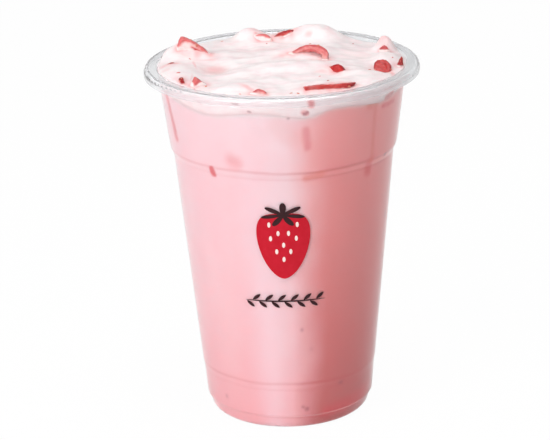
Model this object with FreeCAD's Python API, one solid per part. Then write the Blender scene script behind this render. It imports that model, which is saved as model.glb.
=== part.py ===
import FreeCAD, Part
import math
import os

from FreeCAD import Placement, Rotation, Vector

# Strawberry milk tea in a clear plastic cup, with a cream layer and chopped strawberries on top.
# Millimetres, +Z up, origin at the centre of the ring that the cup stands on, -Y is the front.

# ---- The cup: one sheet of even thickness ----
WALL = 0.6                 # thickness of the sheet, from the base to the rim
RIM_HEIGHT = 125.2         # top of the flange
NECK_RADIUS = 42.9         # outside of the wall where it turns into the flange
NECK_BEND = 0.6
FLANGE_WIDTH = 4.6         # the flange reaches this far out from the neck
RIM_BEND = 1.1
SKIRT_DROP = 2.9           # the flange's edge turns down this far
UPPER_LEDGE_DROP = 27.6    # top corner of the upper ledge, below the rim
UPPER_LEDGE_RISE = 2.9
UPPER_LEDGE_STEP = 1.2
LOWER_LEDGE_HEIGHT = 15.5  # bottom corner of the lower ledge
LOWER_LEDGE_RISE = 2.5
LOWER_LEDGE_STEP = 0.45
LEDGE_BEND = 0.8
RING_HEIGHT = 5.5          # a small ring ends the wall above the rounded heel
RING_RISE = 0.8
RING_STEP = 0.7
HEEL_STEP = 1.35           # from the ring's foot in to the standing ring's outer corner
FOOT_BEND = 3.0
FOOT_WIDTH = 5.2           # standing ring, corner to corner
PANEL_STEP = 1.7
PANEL_HEIGHT = 2.4         # the base panel is raised this far above the standing ring
UPPER_LEAN = 0.1296        # the wall leans out by these shares of its height
MAIN_LEAN = 0.0971
LOWER_LEAN = 0.085

# ---- The drink and the cream ----
MOUTH_RADIUS = NECK_RADIUS - WALL
CREAM_DEPTH = 6.4          # mean depth of the cream at the wall, below the rim
CREAM_EDGE_DROP = 0.8      # the cream meets the wall this far below the rim
CREAM_CROWN = 1.9          # rise of the cream from the wall to the middle
CREAM_HEADROOM = 20.0      # height above the rim that no lump of cream reaches
FOLD_HEIGHT = 0.35         # low folds that the cream was left in
FOLD_PITCH = 13.0
FOLD_TURN = 24.0           # the folds run this many degrees off the X axis
GRID_PITCH = 2.4           # spacing of the points that a liquid surface passes through

# Lumps of the cream's top: middle x and y as shares of the mouth's radius, then height, reach along
# and across in millimetres, and turn in degrees.
CREAM_LUMPS = {
    "back mound": (0.31, 0.78, 4.5, 9.0, 6.2, -6.0),
    "back crest": (-0.27, 0.80, 3.7, 5.2, 5.0, 0.0),
    "back saddle": (0.01, 0.84, 1.6, 8.0, 5.0, 0.0),
    "back right hollow": (0.64, 0.78, -2.0, 8.0, 7.0, -40.0),
    "left peak": (-0.87, 0.31, 3.3, 5.6, 7.5, 0.0),
    "left slice ridge": (-0.74, 0.27, 2.6, 5.6, 2.6, -12.0),
    "left shelf": (-0.83, -0.28, 1.9, 6.0, 15.0, 6.0),
    "right peak": (0.86, 0.32, 5.2, 3.3, 3.8, 0.0),
    "right shoulder": (0.86, 0.00, 2.0, 5.0, 8.0, 0.0),
    "right front shoulder": (0.66, -0.45, 1.3, 8.0, 10.0, 30.0),
    "middle fold": (0.19, 0.21, 2.2, 12.0, 5.5, 10.0),
    "centre fold": (0.05, -0.24, 1.1, 15.0, 6.0, 12.0),
    "front left fold": (-0.37, -0.78, 1.6, 8.0, 4.6, 14.0),
    "front fold": (0.43, -0.73, 1.4, 12.0, 5.0, 14.0),
    "left hollow": (-0.50, -0.14, -1.5, 7.5, 11.0, -10.0),
    "back hollow": (-0.21, 0.47, -1.0, 13.0, 6.0, 6.0),
}
LUMP_ROUNDNESS = 1.4       # above 1, a lump has a flatter top and steeper sides

# Lobes of the cream's underside at the wall: direction in degrees, drop, reach in degrees.
CREAM_LOBES = {
    "front lobe": (-80.0, 1.9, 9.0),
    "front left lobe": (-123.0, 2.4, 14.0),
    "right lobe": (-38.0, 0.9, 14.0),
    "left rise": (-165.0, -1.6, 15.0),
    "back lobe": (70.0, 1.6, 22.0),
    "back left lobe": (140.0, 1.2, 17.0),
}
WAVE_HEIGHT = 0.45
WAVE_COUNT = 7

# ---- The strawberries ----
# Widths of a hulled strawberry as shares of its greatest radius, at shares of its length from the tip.
BERRY_OUTLINE = ((0.05, 0.17), (0.24, 0.52), (0.48, 0.84), (0.70, 1.00), (0.88, 0.90), (1.00, 0.64))

RIND_START = 0.14          # a rind runs from this share of the length, near the tip
RIND_END = 0.10            # round the shoulder, to this share of the width from the axis

# Cut pieces: shape, length, width and thickness, the middle as x and y in shares of the mouth's radius
# with its height above the rim, and the turns about X, Y and Z in degrees.
# The turn about Y comes first and lies in the cut face, then X leans the piece, then Z faces it.
BERRIES = {
    "berry_left_slice": ("slice", 16.0, 13.5, 3.2, (-0.747, 0.246, -0.2), (-14.0, 157.0, 4.0)),
    "berry_left_tip": ("slice", 5.0, 6.2, 1.3, (-0.782, -0.560, -0.5), (-22.0, 136.0, 100.0)),
    "berry_left_pale": ("slice", 8.0, 6.8, 3.2, (-0.664, -0.619, -1.3), (-18.0, 170.0, 24.0)),
    "berry_left_edge": ("slice", 4.0, 3.4, 1.5, (-0.905, -0.062, 0.0), (-66.0, 84.0, 6.0)),
    "berry_back_left": ("slice", 7.0, 5.4, 2.4, (-0.170, 0.702, 0.3), (-20.0, 118.0, -6.0)),
    "berry_back": ("slice", 15.5, 9.0, 3.0, (-0.019, 0.733, -2.3), (-26.0, 74.0, 0.0)),
    "berry_middle_curl": ("rind", 22.5, 20.0, 2.0, (0.163, 0.055, 1.1), (-46.0, 80.0, -20.0)),
    "berry_middle_wedge": ("wedge", 11.5, 9.4, 5.4, (0.426, -0.295, -0.9), (60.0, 70.0, -25.0)),
    "berry_right_peak": ("wedge", 6.0, 5.4, 3.4, (0.856, 0.194, -0.6), (10.0, 20.0, 200.0)),
    "berry_right_round": ("tip", 9.4, 6.6, 5.6, (0.801, -0.250, -1.5), (40.0, 0.0, 8.0)),
    "berry_right_curl": ("slice", 8.9, 3.4, 1.7, (0.948, -0.178, -1.5), (3.0, 194.0, 43.0)),
    "berry_front_slice": ("half", 17.6, 10.5, 3.0, (0.375, -0.826, -1.5), (12.0, 90.0, 190.0)),
    "berry_front_dice": ("wedge", 8.6, 7.2, 3.4, (-0.200, -0.872, -1.3), (70.0, 60.0, 10.0)),
}


def cup_corners():
    """Corners of the sheet's outer face as (radius, height, bend), from the axis out to the skirt."""
    flange_height = RIM_HEIGHT - WALL
    upper_top = RIM_HEIGHT - UPPER_LEDGE_DROP
    upper_foot = upper_top - UPPER_LEDGE_RISE
    lower_top = LOWER_LEDGE_HEIGHT + LOWER_LEDGE_RISE
    upper_radius = NECK_RADIUS - UPPER_LEAN * (flange_height - upper_top)
    main_radius = upper_radius - UPPER_LEDGE_STEP
    lower_radius = main_radius - MAIN_LEAN * (upper_foot - lower_top)
    band_radius = lower_radius - LOWER_LEDGE_STEP
    ring_radius = band_radius - LOWER_LEAN * (LOWER_LEDGE_HEIGHT - RING_HEIGHT)
    heel_radius = ring_radius - RING_STEP
    foot_radius = heel_radius - HEEL_STEP
    skirt_radius = NECK_RADIUS + FLANGE_WIDTH - WALL
    return [
        (0.0, PANEL_HEIGHT, 0.0),
        (foot_radius - FOOT_WIDTH - PANEL_STEP, PANEL_HEIGHT, LEDGE_BEND),
        (foot_radius - FOOT_WIDTH, 0.0, 2.0 * WALL),
        (foot_radius, 0.0, FOOT_BEND),
        (heel_radius, RING_HEIGHT - RING_RISE, WALL / 2),
        (ring_radius, RING_HEIGHT, WALL),
        (band_radius, LOWER_LEDGE_HEIGHT, LEDGE_BEND),
        (lower_radius, lower_top, LEDGE_BEND),
        (main_radius, upper_foot, LEDGE_BEND),
        (upper_radius, upper_top, LEDGE_BEND),
        (NECK_RADIUS, flange_height, NECK_BEND),
        (skirt_radius, flange_height, RIM_BEND),
        (skirt_radius, RIM_HEIGHT - SKIRT_DROP, 0.0),
    ]


def unit(start, end):
    """Direction from one corner to the next in the profile's plane."""
    along = (end[0] - start[0], end[1] - start[1])
    length = math.hypot(*along)
    return along[0] / length, along[1] / length


def left_face(corners, distance):
    """The same sheet's other face: each side moved to its left, its corners where the sides meet."""
    moved = []
    last = len(corners) - 1
    for index, (radius, height, bend) in enumerate(corners):
        before = unit(corners[max(index - 1, 0)], corners[max(index, 1)])
        after = unit(corners[min(index, last - 1)], corners[min(index + 1, last)])
        turn = before[0] * after[1] - before[1] * after[0]
        spread = 1.0 + before[0] * after[0] + before[1] * after[1]
        shift = (-(before[1] + after[1]) * distance / spread, (before[0] + after[0]) * distance / spread)
        new_bend = bend - distance if turn > 0 else bend + distance
        moved.append((radius + shift[0], height + shift[1], max(new_bend, 0.0) if bend else 0.0))
    return moved


def profile_point(radius, height):
    return Vector(radius, 0, height)


def rounded_path(corners):
    """Edges through the corners, with each bend as a tangent arc."""
    edges = []
    here = profile_point(*corners[0][:2])
    for before, corner, after in zip(corners, corners[1:], corners[2:]):
        arrive = unit(before, corner)
        leave = unit(corner, after)
        half_turn = math.acos(max(-1.0, min(1.0, arrive[0] * leave[0] + arrive[1] * leave[1]))) / 2
        setback = corner[2] * math.tan(half_turn)
        start = profile_point(corner[0] - arrive[0] * setback, corner[1] - arrive[1] * setback)
        edges.append(Part.LineSegment(here, start).toShape())
        here = start
        if setback > 0:
            end = profile_point(corner[0] + leave[0] * setback, corner[1] + leave[1] * setback)
            depth = corner[2] * (1 / math.cos(half_turn) - 1)
            inward = (leave[0] - arrive[0], leave[1] - arrive[1])
            size = math.hypot(*inward)
            middle = profile_point(corner[0] + inward[0] / size * depth, corner[1] + inward[1] / size * depth)
            edges.append(Part.Arc(start, middle, end).toShape())
            here = end
    edges.append(Part.LineSegment(here, profile_point(*corners[-1][:2])).toShape())
    return edges


def turned(edges):
    """Solid of revolution about the cup's axis from a closed outline."""
    outline = Part.Wire(Part.__sortEdges__(edges))
    solid = Part.Face(outline).revolve(Vector(0, 0, 0), Vector(0, 0, 1), 360)
    return solid


def line(start, end):
    return Part.LineSegment(profile_point(*start), profile_point(*end)).toShape()


def make_cup():
    outer = cup_corners()
    inner = left_face(outer, WALL)
    edges = rounded_path(outer) + rounded_path(inner)
    edges.append(line(outer[0][:2], inner[0][:2]))
    edges.append(line(outer[-1][:2], inner[-1][:2]))
    return turned(edges)


def cup_contents():
    """Everything inside the cup's wall, with the wall carried on above the rim for the mound of cream."""
    inner = left_face(cup_corners(), WALL)[:-2]
    lean, rise = unit(inner[-2], inner[-1])
    ceiling = RIM_HEIGHT + CREAM_HEADROOM
    top_radius = inner[-1][0] + (ceiling - inner[-1][1]) * lean / rise
    edges = rounded_path(inner[:-1] + [(top_radius, ceiling, 0.0)])
    edges.append(line((top_radius, ceiling), (0.0, ceiling)))
    edges.append(line((0.0, ceiling), inner[0][:2]))
    return turned(edges)


def bump(x, y, lump):
    """Height that one lump adds at a place."""
    share_x, share_y, height, reach_along, reach_across, turn = lump
    middle_x = share_x * MOUTH_RADIUS
    middle_y = share_y * MOUTH_RADIUS
    angle = math.radians(turn)
    along = (x - middle_x) * math.cos(angle) + (y - middle_y) * math.sin(angle)
    across = (y - middle_y) * math.cos(angle) - (x - middle_x) * math.sin(angle)
    away = (along / reach_along) ** 2 + (across / reach_across) ** 2
    return height * math.exp(-(away ** LUMP_ROUNDNESS))


def cream_top(x, y):
    share = min(math.hypot(x, y) / MOUTH_RADIUS, 1.0)
    angle = math.radians(FOLD_TURN)
    across = y * math.cos(angle) - x * math.sin(angle)
    bow = FOLD_PITCH * 0.35 * math.sin(x / FOLD_PITCH)
    fold = FOLD_HEIGHT * math.sin(2 * math.pi * (across + bow) / FOLD_PITCH) * (1 - share ** 4)
    level = RIM_HEIGHT - CREAM_EDGE_DROP + CREAM_CROWN * (1 - share ** 2)
    return level + fold + sum(bump(x, y, lump) for lump in CREAM_LUMPS.values())


def cream_underside(x, y):
    """Where the cream meets the milk tea: lobes hang down at the wall and fade to the middle."""
    direction = math.degrees(math.atan2(y, x))
    share = min(math.hypot(x, y) / MOUTH_RADIUS, 1.0) ** 3
    drop = WAVE_HEIGHT * math.sin(WAVE_COUNT * math.radians(direction))
    for centre, depth, reach in CREAM_LOBES.values():
        away = (direction - centre + 180.0) % 360.0 - 180.0
        drop += depth * math.exp(-((away / reach) ** 2))
    return RIM_HEIGHT - CREAM_DEPTH - drop * share


def below(surface):
    """Solid under a surface given by its height function, wider than the cup."""
    steps = math.ceil((NECK_RADIUS + GRID_PITCH) / GRID_PITCH)
    places = [index * GRID_PITCH for index in range(-steps, steps + 1)]
    grid = [[Vector(x, y, surface(x, y)) for y in places] for x in places]
    sheet = Part.BSplineSurface()
    sheet.interpolate(grid)
    return sheet.toShape().extrude(Vector(0, 0, -2 * RIM_HEIGHT))


def whole_berry(length, width):
    """An uncut strawberry on the Z axis, its tip at the origin and its seam at -Y, clear of every cut."""
    outline = [Vector(0, 0, 0)]
    outline += [Vector(0, -share * width / 2, at * length) for at, share in BERRY_OUTLINE]
    crown = Vector(0, 0, length)
    curve = Part.BSplineCurve()
    curve.interpolate(outline)
    top = Part.LineSegment(outline[-1], crown)
    core = Part.LineSegment(crown, outline[0])
    face = Part.Face(Part.Wire([curve.toShape(), top.toShape(), core.toShape()]))
    return face.revolve(Vector(0, 0, 0), Vector(0, 0, 1), 360)


def block(low, high):
    size = Vector(*high) - Vector(*low)
    return Part.makeBox(size.x, size.y, size.z, Vector(*low))


def cut_berry(shape, length, width, thickness):
    """A cut piece of strawberry with its middle at the origin."""
    berry = whole_berry(length, width)
    if shape == "slice":
        piece = berry.common(block((-width, -thickness / 2, 0), (width, thickness / 2, length)))
    elif shape == "half":
        piece = berry.common(block((0, -thickness / 2, 0), (width, thickness / 2, length)))
    elif shape == "wedge":
        piece = berry.common(block((0, 0, 0), (width, width, length)))
        piece = piece.common(block((0, 0, length / 2 - thickness), (width, width, length)))
    elif shape == "tip":
        piece = berry.common(block((-width, -width, 0), (width, width, thickness)))
    else:
        heart = whole_berry(length - 2 * thickness, width - 2 * thickness)
        heart.translate(Vector(0, 0, thickness))
        band = block((-width, -thickness / 2, RIND_START * length), (-RIND_END * width, thickness / 2, length))
        piece = berry.cut(heart).common(band)
    middle = piece.BoundBox.Center
    piece.translate(Vector(-middle.x, -middle.y, -middle.z))
    return piece


def make_berries(contents):
    """Every cut piece in its place, kept inside the cup's wall and out of the pieces before it."""
    pieces = {}
    for name, (shape, length, width, thickness, place, turns) in BERRIES.items():
        piece = cut_berry(shape, length, width, thickness)
        middle = Vector(place[0] * MOUTH_RADIUS, place[1] * MOUTH_RADIUS, RIM_HEIGHT + place[2])
        turn = Rotation(Vector(0, 0, 1), turns[2]) * Rotation(Vector(1, 0, 0), turns[0])
        turn = turn * Rotation(Vector(0, 1, 0), turns[1])
        piece.Placement = Placement(middle, turn) * piece.Placement
        if piece.cut(contents).Solids:
            piece = piece.common(contents)
        for neighbour in pieces.values():
            if piece.common(neighbour).Solids:
                piece = piece.cut(neighbour)
        pieces[name] = piece
    return pieces


def main():
    os.makedirs("parts", exist_ok=True)
    contents = cup_contents()
    berries = make_berries(contents)
    drink_space = below(cream_underside)
    cream = contents.common(below(cream_top)).cut(drink_space)
    milk_tea = contents.common(drink_space)
    for piece in berries.values():
        cream = cream.cut(piece)
        milk_tea = milk_tea.cut(piece)
    nodes = {"cup": make_cup(), "milk_tea": milk_tea, "cream": cream, **berries}
    for name, shape in nodes.items():
        print(name, len(shape.Solids), shape.isValid(), round(shape.Volume, 1))
        shape.exportStep(f"parts/{name}.step")


main()
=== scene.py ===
import math

import bmesh
import bpy
import numpy as np
from mathutils import Matrix, Vector, noise
from mathutils.bvhtree import BVHTree


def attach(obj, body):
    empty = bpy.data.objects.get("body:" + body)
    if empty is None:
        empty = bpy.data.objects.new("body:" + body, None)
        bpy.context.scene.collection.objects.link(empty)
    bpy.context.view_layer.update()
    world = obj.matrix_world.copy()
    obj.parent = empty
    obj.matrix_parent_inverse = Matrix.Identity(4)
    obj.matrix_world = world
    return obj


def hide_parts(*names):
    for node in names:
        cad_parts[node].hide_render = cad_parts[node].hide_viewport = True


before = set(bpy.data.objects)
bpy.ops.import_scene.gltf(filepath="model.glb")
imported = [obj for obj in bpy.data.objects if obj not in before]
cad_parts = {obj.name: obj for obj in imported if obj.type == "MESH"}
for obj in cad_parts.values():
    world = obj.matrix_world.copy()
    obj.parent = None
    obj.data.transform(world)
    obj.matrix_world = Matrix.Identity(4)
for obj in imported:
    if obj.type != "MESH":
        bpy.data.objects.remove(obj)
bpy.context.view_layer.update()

# Strawberry milk tea in a clear plastic cup, with a cream layer and chopped strawberries on top.
# Sizes are in millimetres until a mesh is made. -Y is the front.
MM = 0.001
TAU = 2 * math.pi

# ---- The cup, as in the part's source ----
WALL = 0.6
RIM_HEIGHT = 125.2
NECK_RADIUS = 42.9
UPPER_LEDGE_TOP = 97.6
UPPER_LEDGE_RISE = 2.9
UPPER_LEDGE_STEP = 1.2
LOWER_LEDGE_HEIGHT = 15.5
LOWER_LEDGE_RISE = 2.5
LOWER_LEDGE_STEP = 0.45
LEDGE_BEND = 0.8
RING_HEIGHT = 5.5
RING_RISE = 0.8
RING_STEP = 0.7
HEEL_STEP = 1.35
FOOT_BEND = 3.0
FOOT_WIDTH = 5.2
PANEL_STEP = 1.7
PANEL_HEIGHT = 2.4
UPPER_LEAN = 0.1296
MAIN_LEAN = 0.0971
LOWER_LEAN = 0.085
MOUTH_RADIUS = NECK_RADIUS - WALL
INTO_WALL = 0.18           # what fills the cup reaches this far into its wall
FILL_RADIUS = MOUTH_RADIUS + 0.02      # out to here the cream's top and the drink's are worked out

# ---- The cream, as in the part's source, but for its folds, which are shallower here ----
CREAM_DEPTH = 6.4
CREAM_EDGE_DROP = 0.8
CREAM_CROWN = 1.9
FOLD_HEIGHT = 0.14
FOLD_PITCH = 13.0
FOLD_TURN = 24.0
FOLD_BOW = 0.35
# Middle as shares of the mouth's radius, height, reach along and across, and turn in degrees.
CREAM_LUMPS = {
    "back mound": (0.31, 0.78, 4.5, 9, 6.2, -6),
    "back crest": (-0.27, 0.80, 3.7, 5.2, 5, 0),
    "back saddle": (0.01, 0.84, 1.6, 8, 5, 0),
    "back right hollow": (0.64, 0.78, -2, 8, 7, -40),
    "left peak": (-0.87, 0.31, 3.3, 5.6, 7.5, 0),
    "left slice ridge": (-0.74, 0.27, 2.6, 5.6, 2.6, -12),
    "left shelf": (-0.83, -0.28, 1.9, 6, 15, 6),
    "right peak": (0.86, 0.32, 5.2, 3.3, 3.8, 0),
    "right shoulder": (0.86, 0.00, 2, 5, 8, 0),
    "right front shoulder": (0.66, -0.45, 1.3, 8, 10, 30),
    "middle fold": (0.19, 0.21, 2.2, 12, 5.5, 10),
    "centre fold": (0.05, -0.24, 1.1, 15, 6, 12),
    "front left fold": (-0.37, -0.78, 1.6, 8, 4.6, 14),
    "front fold": (0.43, -0.73, 1.4, 12, 5, 14),
    "left hollow": (-0.50, -0.14, -1.5, 7.5, 11, -10),
    "back hollow": (-0.21, 0.47, -1, 13, 6, 6),
}
LUMP_ROUNDNESS = 1.4
# Small dips that bare a piece's front, and a fill by the wall, in the dressed cream alone.
CREAM_DIPS = {
    "by the right round": (0.80, -0.345, -1.3, 3.8, 2.6, 0),
    "by the middle wedge": (0.41, -0.375, -0.9, 5, 2.4, 10),
    "by the front slice": (0.36, -0.905, -0.7, 8.5, 1.8, 12),
    "by the back piece": (0.04, 0.66, -0.8, 5, 2.4, 0),
    "by the left slice": (-0.665, 0.17, -0.9, 3.6, 2.4, -20),
    "back right fill": (0.62, 0.79, 1.4, 9, 6, -40),
}
# Where the cream hangs lower at the wall: azimuth, depth and reach in degrees.
CREAM_LOBES = {
    "front lobe": (-80, 1.9, 9),
    "front left lobe": (-123, 2.4, 14),
    "right lobe": (-38, 0.9, 14),
    "left rise": (-165, -1.6, 15),
    "back lobe": (70, 1.6, 22),
    "back left lobe": (140, 1.2, 17),
}
WAVE_HEIGHT = 0.45
WAVE_COUNT = 7

# ---- The strawberries, as in the part's source ----
# The whole berry's radius: share of its length, share of its greatest radius.
BERRY_OUTLINE = ((0, 0), (0.05, 0.17), (0.24, 0.52), (0.48, 0.84), (0.70, 1.00),
                 (0.88, 0.90), (1.00, 0.64))
RIND_START = 0.14
RIND_END = 0.10
# Shape, length, width, thickness, middle and turns in degrees. The middle is across and back as
# shares of the mouth's radius, and above the rim in millimetres.
BERRIES = {
    "berry_left_slice": ("slice", 16, 13.5, 3.2, (-0.747, 0.246, -0.2), (-14, 157, 4)),
    "berry_left_tip": ("slice", 5, 6.2, 1.3, (-0.782, -0.560, -0.5), (-22, 136, 100)),
    "berry_left_pale": ("slice", 8, 6.8, 3.2, (-0.664, -0.619, -1.3), (-18, 170, 24)),
    "berry_left_edge": ("slice", 4, 3.4, 1.5, (-0.905, -0.062, 0), (-66, 84, 6)),
    "berry_back_left": ("slice", 7, 5.4, 2.4, (-0.170, 0.702, 0.3), (-20, 118, -6)),
    "berry_back": ("slice", 15.5, 9, 3, (-0.019, 0.733, -2.3), (-26, 74, 0)),
    "berry_middle_curl": ("rind", 22.5, 20, 2, (0.163, 0.055, 1.1), (-46, 80, -20)),
    "berry_middle_wedge": ("wedge", 11.5, 9.4, 5.4, (0.426, -0.295, -0.9), (60, 70, -25)),
    "berry_right_peak": ("wedge", 6, 5.4, 3.4, (0.856, 0.194, -0.6), (10, 20, 200)),
    "berry_right_round": ("tip", 9.4, 6.6, 5.6, (0.801, -0.250, -1.5), (40, 0, 8)),
    "berry_right_curl": ("slice", 8.9, 3.4, 1.7, (0.948, -0.178, -1.5), (3, 194, 43)),
    "berry_front_slice": ("half", 17.6, 10.5, 3, (0.375, -0.826, -1.5), (12, 90, 190)),
    "berry_front_dice": ("wedge", 8.6, 7.2, 3.4, (-0.200, -0.872, -1.3), (70, 60, 10)),
}
# How far the cream has crept up each piece, in millimetres above its own surface, how much of its
# cut faces it covers, and how ripe the flesh is: 0 is pale, 1 is deep red.
BERRY_LOOKS = {
    "berry_left_slice": (0.8, 0.85, 0.15),
    "berry_left_tip": (0.2, 0.00, 0.95),
    "berry_left_pale": (1.6, 0.90, 0.25),
    "berry_left_edge": (-0.3, 0.00, 0.90),
    "berry_back_left": (1.6, 0.80, 0.15),
    "berry_back": (0.1, 0.00, 0.85),
    "berry_middle_curl": (0.3, 0.15, 0.50),
    "berry_middle_wedge": (0.2, 0.00, 1.00),
    "berry_right_peak": (0.8, 0.30, 0.60),
    "berry_right_round": (-0.3, 0.00, 1.00),
    "berry_right_curl": (0.3, 0.00, 0.90),
    "berry_front_slice": (0.1, 0.00, 0.85),
    "berry_front_dice": (0.5, 0.35, 0.50),
}

# A red line runs inside the skin on the right half of some pieces.
BERRY_CORES = {"berry_left_slice": 1.0, "berry_middle_curl": 0.4}

# ---- Fineness of the meshes ----
TURN_STEPS = 540
CREAM_RINGS = 190
SIDE_STEPS = 16
RUN_STEP = 0.55
ARC_STEPS = 6
BERRY_VOXEL = 0.22
SMOOTH_SHARE = 0.5
SMOOTH_ROUNDS = 5
CORNER_ANGLE = 55          # a sharper corner than this isn't shaded as round
NOISE_SHIFT = (17.3, 5.1, 9.7)         # a seed moves noise by so many of these
TINY = 1e-6

ROUND_ANGLES = np.arange(TURN_STEPS) * TAU / TURN_STEPS
ROUND_X = np.cos(ROUND_ANGLES)
ROUND_Y = np.sin(ROUND_ANGLES)


# ======== shapes ========
def cup_corners():
    """Corners of the sheet's outer face as radius, height and bend, from the axis to the flange."""
    flange_height = RIM_HEIGHT - WALL
    upper_foot = UPPER_LEDGE_TOP - UPPER_LEDGE_RISE
    lower_top = LOWER_LEDGE_HEIGHT + LOWER_LEDGE_RISE
    upper_radius = NECK_RADIUS - UPPER_LEAN * (flange_height - UPPER_LEDGE_TOP)
    main_radius = upper_radius - UPPER_LEDGE_STEP
    lower_radius = main_radius - MAIN_LEAN * (upper_foot - lower_top)
    band_radius = lower_radius - LOWER_LEDGE_STEP
    ring_radius = band_radius - LOWER_LEAN * (LOWER_LEDGE_HEIGHT - RING_HEIGHT)
    heel_radius = ring_radius - RING_STEP
    foot_radius = heel_radius - HEEL_STEP
    return [
        (0.0, PANEL_HEIGHT, 0.0),
        (foot_radius - FOOT_WIDTH - PANEL_STEP, PANEL_HEIGHT, LEDGE_BEND),
        (foot_radius - FOOT_WIDTH, 0.0, 2.0 * WALL),
        (foot_radius, 0.0, FOOT_BEND),
        (heel_radius, RING_HEIGHT - RING_RISE, WALL / 2),
        (ring_radius, RING_HEIGHT, WALL),
        (band_radius, LOWER_LEDGE_HEIGHT, LEDGE_BEND),
        (lower_radius, lower_top, LEDGE_BEND),
        (main_radius, upper_foot, LEDGE_BEND),
        (upper_radius, UPPER_LEDGE_TOP, LEDGE_BEND),
        (NECK_RADIUS, flange_height, 0.0),
    ]


def unit(start, end):
    along = (end[0] - start[0], end[1] - start[1])
    length = math.hypot(*along)
    return along[0] / length, along[1] / length


def left_face(corners, distance):
    """The sheet's face moved to its left by a distance, its corners where the sides meet."""
    moved = []
    last = len(corners) - 1
    for index, (radius, height, bend) in enumerate(corners):
        before = unit(corners[max(index - 1, 0)], corners[max(index, 1)])
        after = unit(corners[min(index, last - 1)], corners[min(index + 1, last)])
        turn = before[0] * after[1] - before[1] * after[0]
        spread = 1.0 + before[0] * after[0] + before[1] * after[1]
        shift = (-(before[1] + after[1]) * distance / spread,
                 (before[0] + after[0]) * distance / spread)
        new_bend = bend - distance if turn > 0 else bend + distance
        moved.append((radius + shift[0], height + shift[1], max(new_bend, 0.0) if bend else 0.0))
    return moved


def run_points(start, end):
    """Evenly spaced points of a straight run, without its end."""
    count = max(1, math.ceil(math.hypot(end[0] - start[0], end[1] - start[1]) / RUN_STEP))
    return [tuple(start[k] + (end[k] - start[k]) * i / count for k in (0, 1))
            for i in range(count)]


def rounded_points(corners):
    """Points along the corners' path, with each bend as an arc."""
    points = []
    here = corners[0][:2]
    for before, corner, after in zip(corners, corners[1:], corners[2:]):
        arrive = unit(before, corner)
        leave = unit(corner, after)
        cosine = arrive[0] * leave[0] + arrive[1] * leave[1]
        half_turn = math.acos(max(-1.0, min(1.0, cosine))) / 2
        setback = corner[2] * math.tan(half_turn)
        start = (corner[0] - arrive[0] * setback, corner[1] - arrive[1] * setback)
        end = (corner[0] + leave[0] * setback, corner[1] + leave[1] * setback)
        points += run_points(here, start)
        if setback > 0:
            # A quadratic curve is close enough to so short an arc.
            for i in range(ARC_STEPS):
                t = i / ARC_STEPS
                points.append(tuple(
                    start[k] * (1 - t) ** 2 + 2 * corner[k] * t * (1 - t) + end[k] * t * t
                    for k in (0, 1)))
        here = end
    points += run_points(here, corners[-1][:2])
    points.append(corners[-1][:2])
    return points


def fill_radius(height):
    """Radius of what fills the cup, above the upper ledge."""
    (r0, z0, _), (r1, z1, _) = left_face(cup_corners(), WALL - INTO_WALL)[-2:]
    return r0 + (height - z0) * ((r1 - r0) / (z1 - z0))


def bump(x, y, lump):
    share_x, share_y, height, reach_along, reach_across, turn = lump
    middle_x = share_x * MOUTH_RADIUS
    middle_y = share_y * MOUTH_RADIUS
    angle = math.radians(turn)
    along = (x - middle_x) * math.cos(angle) + (y - middle_y) * math.sin(angle)
    across = (y - middle_y) * math.cos(angle) - (x - middle_x) * math.sin(angle)
    away = (along / reach_along) ** 2 + (across / reach_across) ** 2
    return height * np.exp(-(away ** LUMP_ROUNDNESS))


def cream_top(x, y):
    share = np.minimum(np.hypot(x, y) / MOUTH_RADIUS, 1.0)
    angle = math.radians(FOLD_TURN)
    across = y * math.cos(angle) - x * math.sin(angle)
    bow = FOLD_PITCH * FOLD_BOW * np.sin(x / FOLD_PITCH)
    fold = FOLD_HEIGHT * np.sin(2 * math.pi * (across + bow) / FOLD_PITCH) * (1 - share ** 4)
    level = RIM_HEIGHT - CREAM_EDGE_DROP + CREAM_CROWN * (1 - share ** 2)
    lumps = [*CREAM_LUMPS.values(), *CREAM_DIPS.values()]
    return level + fold + sum(bump(x, y, lump) for lump in lumps)


def turned_from(start, azimuth):
    """Turn from one azimuth to others in degrees, the short way round."""
    return (azimuth - start + 180.0) % 360.0 - 180.0


def cream_underside(x, y):
    direction = np.degrees(np.arctan2(y, x))
    share = np.minimum(np.hypot(x, y) / MOUTH_RADIUS, 1.0) ** 3
    drop = WAVE_HEIGHT * np.sin(WAVE_COUNT * np.radians(direction))
    for centre, depth, reach in CREAM_LOBES.values():
        drop = drop + depth * np.exp(-((turned_from(centre, direction) / reach) ** 2))
    return RIM_HEIGHT - CREAM_DEPTH - drop * share


def smoothstep(low, high, value):
    t = np.clip((value - low) / (high - low), 0.0, 1.0)
    return t * t * (3 - 2 * t)


def noise_of(points, size, seed=0.0):
    """Smooth noise from about -1 to 1 at each point, with lumps of this size."""
    shift = Vector([seed * part for part in NOISE_SHIFT])
    scaled = np.asarray(points) / np.asarray(size)
    return np.array([noise.noise(Vector(p) + shift) for p in scaled])


# ======== mesh helpers ========
def set_attribute(mesh, key, values):
    layer = mesh.attributes.get(key) or mesh.attributes.new(key, "FLOAT", "POINT")
    layer.data.foreach_set("value", np.asarray(values, dtype=np.float32))


def new_object(name, points, faces, attributes=None):
    """A mesh object on the body, from points in millimetres."""
    mesh = bpy.data.meshes.new(name)
    mesh.from_pydata((np.asarray(points) * MM).tolist(), [], faces)
    mesh.validate()
    work = bmesh.new()
    work.from_mesh(mesh)
    bmesh.ops.recalc_face_normals(work, faces=work.faces)
    work.to_mesh(mesh)
    work.free()
    for key, values in (attributes or {}).items():
        set_attribute(mesh, key, values)
    mesh.shade_smooth()
    mesh.set_sharp_from_angle(angle=math.radians(CORNER_ANGLE))
    obj = bpy.data.objects.new(name, mesh)
    bpy.context.scene.collection.objects.link(obj)
    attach(obj, "root")
    return obj


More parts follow.
